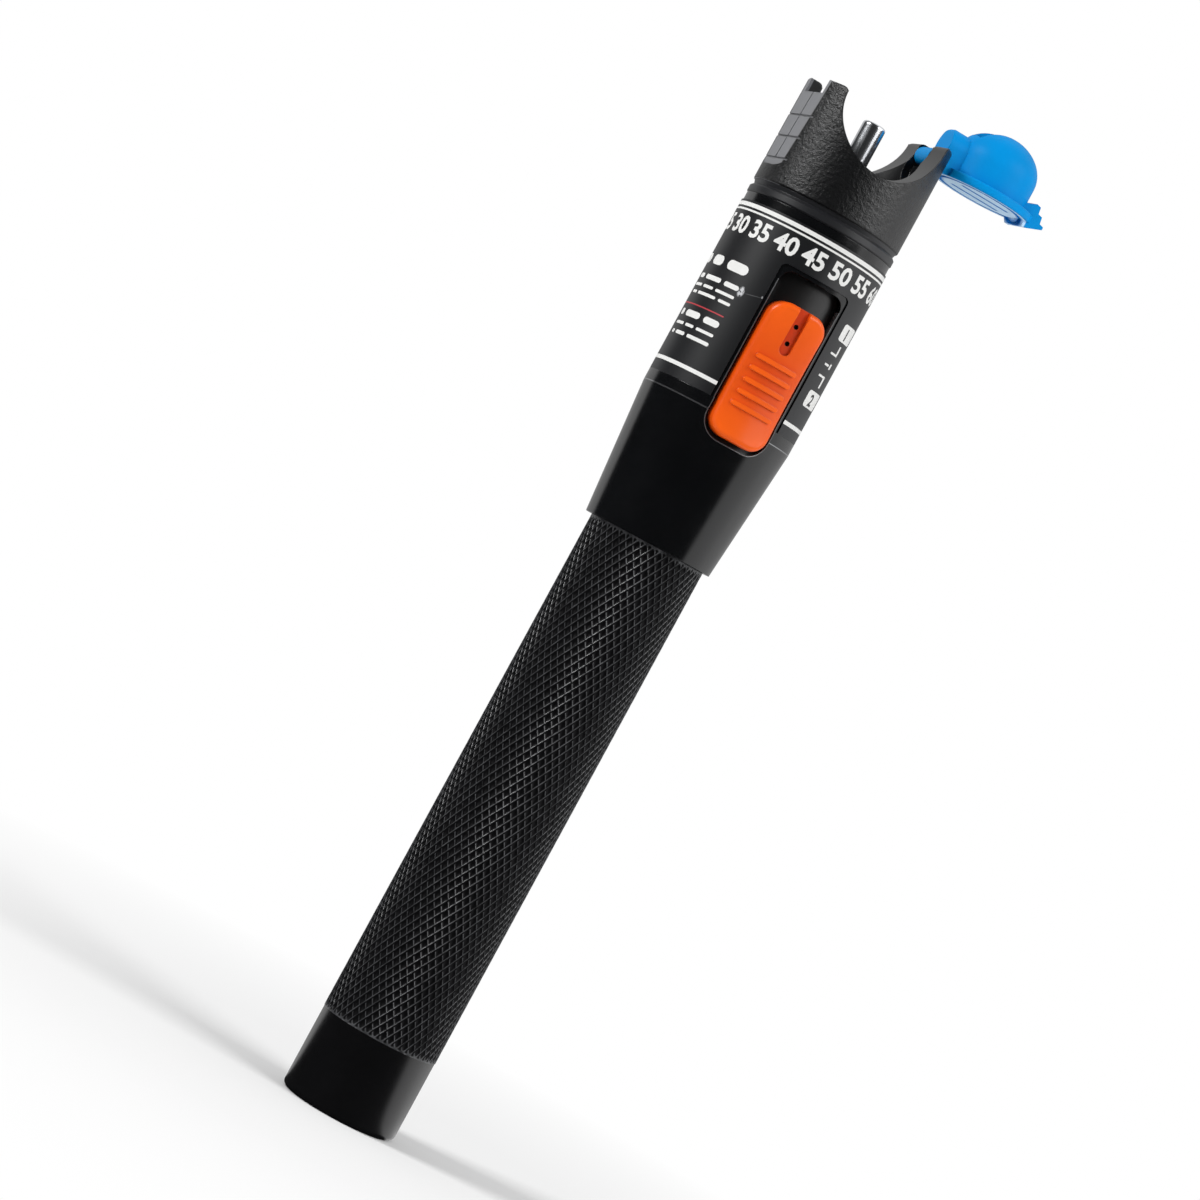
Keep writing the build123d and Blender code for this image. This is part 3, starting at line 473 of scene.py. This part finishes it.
def blue_polypropylene(sizes):
    """Blue polypropylene, moulded: satin and full-coloured, with a frosted pale face on the closed end.

    A ring and two bars on that face are painted a darker blue.
    """
    made = moulded("blue_polypropylene", sizes.blue, 0.42, ior=1.49, edge=0.18 * MM)
    # The lowered specular keeps the pale room from washing the blue out.
    made.paint("Specular IOR Level", 0.06)
    face_height = CROWN_HIGH.z - 3.24 * MM
    face_radius = 8.6 * MM
    ring_radius = CAP_HIGH.y - 1.65 * MM
    bar_offset, bar_half_length = 2.4 * MM, 4.6 * MM
    aside = made.away(made.x, 2 * HINGE_X)
    out = made.reach(aside, made.y)
    frosted = made.all_of(
        made.below(made.z, face_height, 0.05 * MM), made.below(out, face_radius, 0.1 * MM),
    )
    ring = made.near(out, ring_radius, 0.55 * MM)
    bars = made.near(made.away(made.y), bar_offset, 0.6 * MM)
    bars = made.all_of(bars, made.below(aside, bar_half_length, 0.2 * MM))
    face = made.cover(made.any_of(ring, bars), sizes.blue_face, sizes.blue_mark)
    made.paint("Base Color", made.cover(frosted, made.drift(sizes.blue, 0.06, 5 * MM), face))
    return made.material


def turned_metal(name, base, roughness):
    """Metal, turned or drawn: bright, with fine rings left by the tool."""
    made = Finish(name, base, roughness, metallic=1.0)
    ring_pitch = 0.047 * MM
    inputs = {"Vector": made.position, "Scale": WAVE_REPEAT / ring_pitch, "Distortion": 0.4, "Detail": 1.0}
    rings = made.add("TexWave", inputs, bands_direction="Z").outputs["Fac"]
    made.paint("Base Color", made.drift(base, 0.06, 1.5 * MM))
    made.relief(rings, 0.002 * MM, edge=0.05 * MM, strength=0.3)
    return made.material


def chrome_plate():
    """Chrome plate on the turned sleeve: a soft mirror with a faint cool tint."""
    chrome = linear("#dcdee2")
    made = Finish("bright_chrome_plate", chrome, 0.22, metallic=1.0)
    made.paint("Base Color", made.drift(chrome, 0.03, 2 * MM))
    made.relief(made.grains(0.8 * MM), 0.001 * MM, edge=0.06 * MM, strength=0.2)
    return made.material


def cell_jacket():
    """Shrink sleeve of an alkaline cell: dark grey gloss film, with bare steel at the nub."""
    sleeve, steel = linear("#3a3d44"), linear("#b8b9b5")
    made = Finish("printed_shrink_sleeve", sleeve, 0.25, ior=1.5)
    bare = made.below(made.radius(), 5.6 * MM, 0.1 * MM)
    made.paint("Base Color", made.cover(bare, made.drift(sleeve, 0.1, 6 * MM), steel))
    made.paint("Metallic", bare)
    made.relief(made.grains(0.9 * MM), 0.004 * MM, edge=0.1 * MM, strength=0.4)
    return made.material


def solder_mask():
    """Glass-epoxy board, coated with green solder mask: glossy, with paler raised copper tracks."""
    mask, copper = linear("#1d5a38"), linear("#3f8d5b")
    made = Finish("green_solder_mask", mask, 0.3, ior=1.5)
    track_pitch = 0.4 * MM
    inputs = {"Vector": made.position, "Scale": WAVE_REPEAT / track_pitch, "Distortion": 0.0}
    lines = made.add("TexWave", inputs, bands_direction="X").outputs["Fac"]
    tracks = made.above(lines, 0.8, 0.08)
    made.paint("Base Color", made.cover(tracks, mask, copper))
    made.relief(tracks, 0.03 * MM, edge=0.05 * MM, strength=0.5)
    return made.material


def lens_glass():
    """Optical glass, moulded and polished on both faces: clear, and bends what is behind it."""
    made = Finish("optical_glass", linear("#f4f8f8"), 0.02, ior=1.52)
    made.paint("Transmission Weight", 1.0)
    made.relief(made.grains(1.0 * MM), 0.0005 * MM, strength=0.1)
    return made.material


# The battery tube, turned and knurled

def knurl_height(column, row, steps):
    """Depth of the knurl at a mesh point: 0 on the crests and 1 in the pits."""
    steepness = 3.4
    across = [(column + row) % steps, (column - row) % steps]
    nearest = min(min(value, steps - value) for value in across) / steps
    return min(1.0, nearest * steepness)


def thread_height(turns):
    """Height of the thread after a number of turns: 0 on its flat root and 1 on its flat crest."""
    steepness, root = 2.2, 0.6
    return min(1.0, max(0.0, steepness * abs(2 * (turns % 1) - 1) - root))


def tube_rows(sizes, columns):
    """Rows of (height, radius of each column) from the tail's edge up, over the neck and down the bore."""
    crest = TUBE_HIGH.x
    smooth = crest - sizes.smooth_relief
    neck = crest - 0.85 * MM
    bore = CELL_HIGH.x + 0.45 * MM
    chamfer = 0.2 * MM
    rows = []

    def plain(z, radius):
        rows.append((z, [radius] * columns))

    tail = sizes.tail_round
    tail_steps = 6
    for index in range(tail_steps + 1):
        angle = math.radians(90 * index / tail_steps)
        plain(tail * (1 - math.cos(angle)), smooth - tail * (1 - math.sin(angle)))

    first, last = sizes.smooth_tail, HOUSING_LOW.z - 0.15 * MM
    plain(first - 0.12 * MM, smooth)
    count = round((last - first) / (sizes.knurl_pitch / sizes.steps))
    knurl_rows = (len(rows), len(rows) + count)
    for row in range(count + 1):
        fade = min(1.0, row / 2, (count - row) / 2)
        radii = [
            crest - sizes.knurl_depth * fade * knurl_height(column, row, sizes.steps)
            for column in range(columns)
        ]
        rows.append((first + (last - first) * row / count, radii))

    shoulder = RING_LOW.z - 0.6 * MM
    groove_low, groove_high = RING_LOW.z, RING_LOW.z + 1.26 * MM
    groove = neck - 0.95 * MM
    plain(HOUSING_LOW.z, smooth)
    plain(shoulder - chamfer, smooth)
    plain(shoulder, smooth - chamfer)
    plain(shoulder, neck)
    for z, radius in ((groove_low, neck), (groove_low, groove), (groove_high, groove), (groove_high, neck)):
        plain(z, radius)

    thread_low, thread_high = groove_high + 0.5 * MM, TUBE_HIGH.z - 0.5 * MM
    steps_a_turn, fade_steps = 8, 6
    count = round((thread_high - thread_low) / sizes.thread_pitch * steps_a_turn)
    for row in range(count + 1):
        z = thread_low + (thread_high - thread_low) * row / count
        depth = sizes.thread_depth * min(1.0, row / fade_steps, (count - row) / fade_steps)
        radii = []
        for column in range(columns):
            turns = (z - thread_low) / sizes.thread_pitch - column / columns
            radii.append(neck - depth * (1 - thread_height(turns)))
        rows.append((z, radii))

    plain(TUBE_HIGH.z - chamfer, neck)
    plain(TUBE_HIGH.z, neck - chamfer)
    plain(TUBE_HIGH.z, bore)
    plain(TUBE_HIGH.z - 6 * MM, bore)
    plain(CELL_LOW.z - 5.5 * MM, bore)
    return rows, knurl_rows


def tube_mesh(sizes):
    """The whole tube as one closed mesh, its knurl split along the crests."""
    columns = sizes.starts * sizes.steps
    rows, (knurl_low, knurl_high) = tube_rows(sizes, columns)
    turns = [math.tau * column / columns for column in range(columns)]
    bm = bmesh.new()
    rings = [
        [bm.verts.new((r * math.sin(a), -r * math.cos(a), z)) for a, r in zip(turns, radii)]
        for z, radii in rows
    ]
    for index, (low, high) in enumerate(zip(rings, rings[1:])):
        row = index - knurl_low
        knurled = knurl_low <= index < knurl_high
        for column in range(columns):
            right = (column + 1) % columns
            corners = [low[column], low[right], high[right], high[column]]
            if not knurled:
                bm.faces.new(corners)
            elif (column - row) % sizes.steps < sizes.steps / 2:
                bm.faces.new([corners[0], corners[1], corners[2]])
                bm.faces.new([corners[0], corners[2], corners[3]])
            else:
                bm.faces.new([corners[0], corners[1], corners[3]])
                bm.faces.new([corners[1], corners[2], corners[3]])
    bm.faces.new(reversed(rings[0]))
    bm.faces.new(rings[-1])
    for face in bm.faces:
        face.smooth = True
    return bm


class LOCATOR_OT_battery_tube(bpy.types.Operator):
    """Make the knurled battery tube with its threaded neck"""
    bl_idname = "locator.battery_tube"
    bl_label = "Battery tube"

    def execute(self, context):
        sizes = context.scene.locator_tube
        made = mesh_object("knurled_tube", tube_mesh(sizes), anodised_knurl(sizes, TUBE_HIGH.x))
        made.data.set_sharp_from_angle(angle=math.radians(38))
        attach(made, "battery_barrel")
        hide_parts("battery_tube")
        return {"FINISHED"}


# The label's print: flat shapes, in millimetres round the label from its front and up from its foot,
# which are then bent round it in narrow strips

def polygon(bm, points):
    bm.faces.new([bm.verts.new((u * MM, z * MM, 0)) for u, z in points])


def rectangle(bm, left, right, bottom, top):
    polygon(bm, [(left, bottom), (right, bottom), (right, top), (left, top)])


def rounded_box(bm, left, right, bottom, top, corner):
    points = []
    for x, z, start in (
        (right - corner, bottom + corner, 270), (right - corner, top - corner, 0),
        (left + corner, top - corner, 90), (left + corner, bottom + corner, 180),
    ):
        for step in range(4):
            angle = math.radians(start + 30 * step)
            points.append((x + corner * math.cos(angle), z + corner * math.sin(angle)))
    polygon(bm, points)


def numeral(bm, text, middle, foot, height):
    """Plain bold numerals, centred on a middle and standing on a foot."""
    curve = bpy.data.curves.new("numeral", "FONT")
    curve.body = text
    curve.align_x = "CENTER"
    curve.resolution_u = 3
    curve.offset = 0.03
    curve.size = 1.0
    holder = bpy.data.objects.new("numeral", curve)
    outline = bpy.data.meshes.new_from_object(holder)
    tall = max(v.co.y for v in outline.vertices)
    placed = Matrix.Translation((middle * MM, foot * MM, 0)) @ Matrix.Scale(height * MM / tall, 4)
    outline.transform(placed)
    bm.from_mesh(outline)
    bpy.data.objects.remove(holder)
    bpy.data.curves.remove(curve)
    bpy.data.meshes.remove(outline)


def bend(bm, radius, strip):
    """Cuts flat shapes in upright strips, bends them round the axis facing out, and lifts them in place."""
    reach = math.pi * radius
    for index in range(1, int(2 * reach / strip)):
        across = -reach + index * strip
        bmesh.ops.bisect_plane(
            bm, geom=bm.verts[:] + bm.edges[:] + bm.faces[:], plane_co=(across, 0, 0),
            plane_no=(1, 0, 0), dist=0.001 * MM,
        )
    for vertex in bm.verts:
        angle = vertex.co.x / radius
        height = LABEL_LOW.z + vertex.co.y
        vertex.co = (radius * math.sin(angle), -radius * math.cos(angle), height)
    bm.normal_update()
    for face in bm.faces:
        middle = face.calc_center_median()
        if face.normal.dot(Vector((middle.x, middle.y, 0))) < 0:
            face.normal_flip()
    return bm


def seam_edge():
    """How far round the label reaches on each side, in millimetres."""
    half_gap = 0.45
    return math.pi * LABEL_HIGH.x / MM - half_gap


def slot_half():
    """Half of the label's slot for the window, in millimetres round the label."""
    half_chord = 6.5
    radius = LABEL_HIGH.x / MM
    return radius * math.asin(half_chord / radius)


def white_shapes():
    """Stripes, a ring of numerals, rows of dashes like small print, and the two switch marks."""
    bm = bmesh.new()
    label_top = (LABEL_HIGH.z - LABEL_LOW.z) / MM
    seam, slot = seam_edge(), slot_half()
    # A broad and a narrow stripe run all round the top, and one at the foot stops at the window
    for down, up in ((1.07, 0.39), (1.78, 1.46)):
        rectangle(bm, -seam, seam, label_top - down, label_top - up)
    for left, right in ((-seam, -slot), (slot, seam)):
        rectangle(bm, left, right, 1.85, 2.5)
    count = 16
    spacing = 2 * seam / count
    for index in range(count):
        middle = -seam + spacing * (index + 0.5)
        numeral(bm, str(10 + 5 * index), middle, label_top - 5.5, 3.0)
    # The middle and height of each row of dashes, and its widths from the window outwards
    dash_rows = (
        (20.1, 1.7, (4.6, 3.4, 2.8)), (17.0, 0.8, (3.2, 4.6, 2.2)), (15.4, 0.5, (4.2, 3.0, 3.6)),
        (14.1, 0.5, (2.6, 5.2, 2.0)), (10.4, 1.1, (3.4, 4.4, 1.6)), (8.5, 0.5, (3.9, 2.4, 3.3)),
        (6.9, 0.6, (5.1, 3.0, 1.2)),
    )
    for middle, height, widths in dash_rows:
        right = DASHES_END
        bottom, top = middle - height / 2, middle + height / 2
        for width in widths:
            rounded_box(bm, right - width, right, bottom, top, height / 2.01)
            right -= width + 0.45 + height / 2
    for foot in SWITCH_BOX_FEET:
        rounded_box(bm, 8.9, 14.4, foot, foot + 2.9, 0.5)
    # Strokes between the two boxes, as left, right, bottom and top
    strokes = (
        (9.0, 11.5, 15.4, 15.75), (10.9, 11.5, 15.75, 17.2),
        (9.0, 10.5, 13.4, 13.75), (10.9, 11.5, 13.1, 14.05),
        (9.0, 11.5, 11.4, 11.75), (10.9, 11.5, 9.7, 11.4),
    )
    for stroke in strokes:
        rectangle(bm, *stroke)
    return bm


def dark_shapes():
    """The numerals in the two white boxes, 1 in the upper one."""
    bm = bmesh.new()
    for text, foot in zip("12", SWITCH_BOX_FEET):
        numeral(bm, text, 10.9, foot + 0.4, 2.0)
    return bm


def red_shapes():
    """A thin rule among the dashes."""
    bm = bmesh.new()
    rectangle(bm, -24.0, DASHES_END, 11.9, 12.1)
    return bm


class LOCATOR_OT_label(bpy.types.Operator):
    """Finish the label film and bend its print round it"""
    bl_idname = "locator.label"
    bl_label = "Label and print"

    def execute(self, context):
        sizes = context.scene.locator_print
        film = label_foil(sizes)
        give(film, "label_wrap")
        surface = LABEL_HIGH.x + sizes.ink_rise
        white = ink("white_screen_ink", sizes.white)
        inks = (
            ("white_print", white_shapes(), white, surface),
            ("dark_print", dark_shapes(), film, surface + sizes.ink_rise),
            ("red_print", red_shapes(), ink("red_screen_ink", sizes.red), surface),
        )
        for name, shapes, material, radius in inks:
            made = mesh_object(name, bend(shapes, radius, sizes.strip), material)
            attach(made, "head")
        return {"FINISHED"}


class LOCATOR_OT_housing(bpy.types.Operator):
    """Finish the housing, the collar ring and the parts behind the switch window"""
    bl_idname = "locator.housing"
    bl_label = "Housing"

    def execute(self, context):
        sizes = context.scene.locator_finish
        give(polished_anodising(sizes), "body_housing")
        give(moulded("satin_black_ring", sizes.collar, 0.4, edge=0.12 * MM).material, "collar_ring")
        gloss = moulded("gloss_black_abs", linear("#0a0a0c"), 0.12, ior=1.53)
        give(gloss.material, "carrier_back", "slide_switch_body", "switch_lever")
        satin = moulded("satin_black_abs", linear("#0c0c0d"), 0.38, ior=1.53)
        give(satin.material, "carrier_front")
        return {"FINISHED"}


class LOCATOR_OT_button(bpy.types.Operator):
    """Finish the slide button"""
    bl_idname = "locator.button"
    bl_label = "Slide button"

    def execute(self, context):
        give(orange_polycarbonate(context.scene.locator_finish), "switch_button")
        return {"FINISHED"}


class LOCATOR_OT_head(bpy.types.Operator):
    """Finish the crown, the cap and the bright port"""
    bl_idname = "locator.head"
    bl_label = "Head, cap and port"

    def execute(self, context):
        sizes = context.scene.locator_finish
        give(grained_abs(sizes), "head_crown")
        give(blue_polypropylene(sizes), "cap")
        give(chrome_plate(), "ferrule_sleeve")
        zirconia = moulded("polished_zirconia", linear("#efece4"), 0.12, ior=2.1, depth=0.0005 * MM)
        give(zirconia.material, "ceramic_sleeve")
        give(turned_metal("ground_steel_pin", linear("#c8c8c6"), 0.25), "cap_hinge_pin")
        return {"FINISHED"}


class LOCATOR_OT_inside(bpy.types.Operator):
    """Finish the cells, the spring, the board and the laser module"""
    bl_idname = "locator.inside"
    bl_label = "Inner parts"

    def execute(self, context):
        give(cell_jacket(), "battery_lower", "battery_upper")
        rubber = moulded("nitrile_rubber", linear("#101012"), 0.6, ior=1.52, grain=0.2 * MM)
        give(rubber.material, "tube_o_ring")
        give(turned_metal("drawn_spring_steel", linear("#b9bab8"), 0.3), "tail_spring")
        give(turned_metal("bright_zinc_steel", linear("#cfd0d2"), 0.25), "carrier_screws", "laser_diode")
        brass = turned_metal("turned_brass", linear("#d2aa58"), 0.22)
        give(brass, "laser_barrel", "lens_ring", "module_nut", "battery_contact")
        give(solder_mask(), "circuit_board")
        give(lens_glass(), "collimating_lens")
        return {"FINISHED"}


# The studio: floor, light and camera

def backdrop_level(tree, direction, sides, dark):
    """1 where it is seen; faces mirror white beside the pen, grey behind it and a dark room before it."""
    bright_side, behind = sides
    grey = 0.45

    def ramp(side, start, end, first, last):
        """A level from first to last, as the direction's cosine to a side goes from start to end."""
        along = add_node(tree, "VectorMath", (direction, side), operation="DOT_PRODUCT")
        inputs = {"Value": along.outputs["Value"], "From Min": start, "From Max": end}
        inputs.update({"To Min": first, "To Max": last})
        return add_node(tree, "MapRange", inputs)

    levels = (ramp(bright_side, 0.045, 0.165, dark, 1.0), ramp(behind, 0.4, 0.95, 1.0, grey))
    level = add_node(tree, "Math", levels, operation="MULTIPLY")
    mirrored = add_node(tree, "LightPath").outputs["Is Glossy Ray"]
    return add_node(tree, "Mix", {"Factor": mirrored, "A": 1.0, "B": level}, data_type="FLOAT")


def backdrop_seen(tree):
    """1 for the rays that see the backdrop itself rather than its light."""
    rays = add_node(tree, "LightPath").outputs
    seen = rays["Is Camera Ray"]
    for name in ("Is Glossy Ray", "Is Transmission Ray"):
        seen = add_node(tree, "Math", (seen, rays[name]), operation="MAXIMUM")
    return seen


def floor_material(sizes, sides):
    """Board, painted matt white: keeps the pen's shadow and fades to white away from it."""
    made = Finish("matt_white_board", sizes.floor, 0.8)
    board = made.add("BsdfDiffuse", {"Color": (*sizes.floor, 1)})
    direction = made.add("VectorMath", (made.position,), operation="NORMALIZE")
    level = backdrop_level(made.tree, direction, sides, sizes.dark_side)
    white = made.add("Emission", {"Color": (1, 1, 1, 1), "Strength": level})
    far = made.above(made.radius(), sizes.shadow_radius + sizes.fade_width / 2, sizes.fade_width)
    mirrored = made.add("LightPath").outputs["Is Glossy Ray"]
    shown_white = made.all_of(made.any_of(far, mirrored), backdrop_seen(made.tree))
    mixed = made.add("MixShader", (shown_white, board, white))
    feed(made.tree, made.tree.nodes["Material Output"].inputs["Surface"], mixed)
    made.tree.nodes.remove(made.shader)
    return made.material


def floor_mesh(radius):
    bm = bmesh.new()
    bmesh.ops.create_circle(bm, cap_ends=True, segments=96, radius=radius)
    return bm


def light_world(sizes, sides):
    """A world that is white where it is seen, and lights the pen evenly at a lower level."""
    world = bpy.data.worlds.new("studio")
    world.use_nodes = True
    tree = world.node_tree
    tree.nodes.clear()
    direction = add_node(tree, "TexCoord").outputs["Generated"]
    level = backdrop_level(tree, direction, sides, sizes.dark_side)
    seen = add_node(tree, "Background", {"Color": (1, 1, 1, 1), "Strength": level})
    ambient = add_node(tree, "Background", {"Color": (1, 1, 1, 1), "Strength": sizes.ambient})
    mixed = add_node(tree, "MixShader", (backdrop_seen(tree), ambient, seen))
    add_node(tree, "OutputWorld", {"Surface": mixed})
    bpy.context.scene.world = world


def add_lamp(name, power, size, place, target):
    """A soft square lamp that looks at a point."""
    light = bpy.data.lights.new(name, "AREA")
    light.energy = power
    light.size = size
    lamp = bpy.data.objects.new(name, light)
    lamp.location = place
    lamp.rotation_euler = (place - target).to_track_quat("Z", "Y").to_euler()
    bpy.context.scene.collection.objects.link(lamp)


def add_camera(sizes, toward_camera, to_right):
    """The photograph's camera: level, and rolled about its own line of sight."""
    lens = bpy.data.cameras.new("camera")
    lens.lens = sizes.lens
    lens.sensor_width = 36.0
    lens.clip_start = 0.01
    camera = bpy.data.objects.new("camera", lens)
    right = math.cos(sizes.roll) * to_right + math.sin(sizes.roll) * UP
    above = math.cos(sizes.roll) * UP - math.sin(sizes.roll) * to_right
    aim = sizes.aim_side * to_right + sizes.aim_height * UP
    turned = Matrix((right, above, toward_camera)).transposed().to_4x4()
    camera.matrix_world = Matrix.Translation(aim + sizes.distance * toward_camera) @ turned
    bpy.context.scene.collection.objects.link(camera)
    bpy.context.scene.camera = camera


class LOCATOR_OT_studio(bpy.types.Operator):
    """Make the pale floor, the soft light and the camera"""
    bl_idname = "locator.studio"
    bl_label = "Studio"

    def execute(self, context):
        sizes = context.scene.locator_stage
        toward_camera = Vector((math.sin(sizes.azimuth), -math.cos(sizes.azimuth), 0))
        to_right = Vector((math.cos(sizes.azimuth), math.sin(sizes.azimuth), 0))
        bright_side = (0.469 * to_right - 0.883 * toward_camera).normalized()
        sides = (bright_side, -toward_camera)
        board = floor_material(sizes, sides)
        mesh_object("floor", floor_mesh(sizes.floor_radius), board)
        light_world(sizes, sides)
        middle = Vector((0, 0, 0.1))
        # Each lamp's power and width, and how far right, forward and up from the pen's middle it stands
        lamps = (
            ("right_softbox", sizes.key, 0.6, 0.74, 0.4, 0.5),
            ("left_softbox", sizes.fill, 0.36, -0.85, 0.36, 0.5),
        )
        for name, power, width, right, forward, up in lamps:
            place = middle + right * to_right + forward * toward_camera + up * UP
            add_lamp(name, power, width, place, middle)
        add_camera(sizes, toward_camera, to_right)
        context.scene.view_settings.view_transform = "Standard"
        return {"FINISHED"}


class LOCATOR_PT_panel(bpy.types.Panel):
    """Sidebar list of the locator's parts"""
    bl_label = "Locator"
    bl_idname = "LOCATOR_PT_panel"
    bl_space_type = "VIEW_3D"
    bl_region_type = "UI"
    bl_category = "Locator"

    def draw(self, context):
        for operator in OPERATORS:
            self.layout.operator(operator.bl_idname)


GROUPS = {
    "locator_tube": LOCATOR_PG_tube,
    "locator_print": LOCATOR_PG_print,
    "locator_finish": LOCATOR_PG_finish,
    "locator_stage": LOCATOR_PG_stage,
}
OPERATORS = (
    LOCATOR_OT_battery_tube,
    LOCATOR_OT_housing,
    LOCATOR_OT_label,
    LOCATOR_OT_button,
    LOCATOR_OT_head,
    LOCATOR_OT_inside,
    LOCATOR_OT_studio,
)


def register():
    for name, group in GROUPS.items():
        bpy.utils.register_class(group)
        setattr(bpy.types.Scene, name, PointerProperty(type=group))
    for operator in OPERATORS:
        bpy.utils.register_class(operator)
    bpy.utils.register_class(LOCATOR_PT_panel)


def unregister():
    bpy.utils.unregister_class(LOCATOR_PT_panel)
    for operator in reversed(OPERATORS):
        bpy.utils.unregister_class(operator)
    for name, group in GROUPS.items():
        delattr(bpy.types.Scene, name)
        bpy.utils.unregister_class(group)


def main():
    register()
    for operator in OPERATORS:
        group, action = operator.bl_idname.split(".")
        getattr(getattr(bpy.ops, group), action)()


if __name__ == "__main__":
    main()
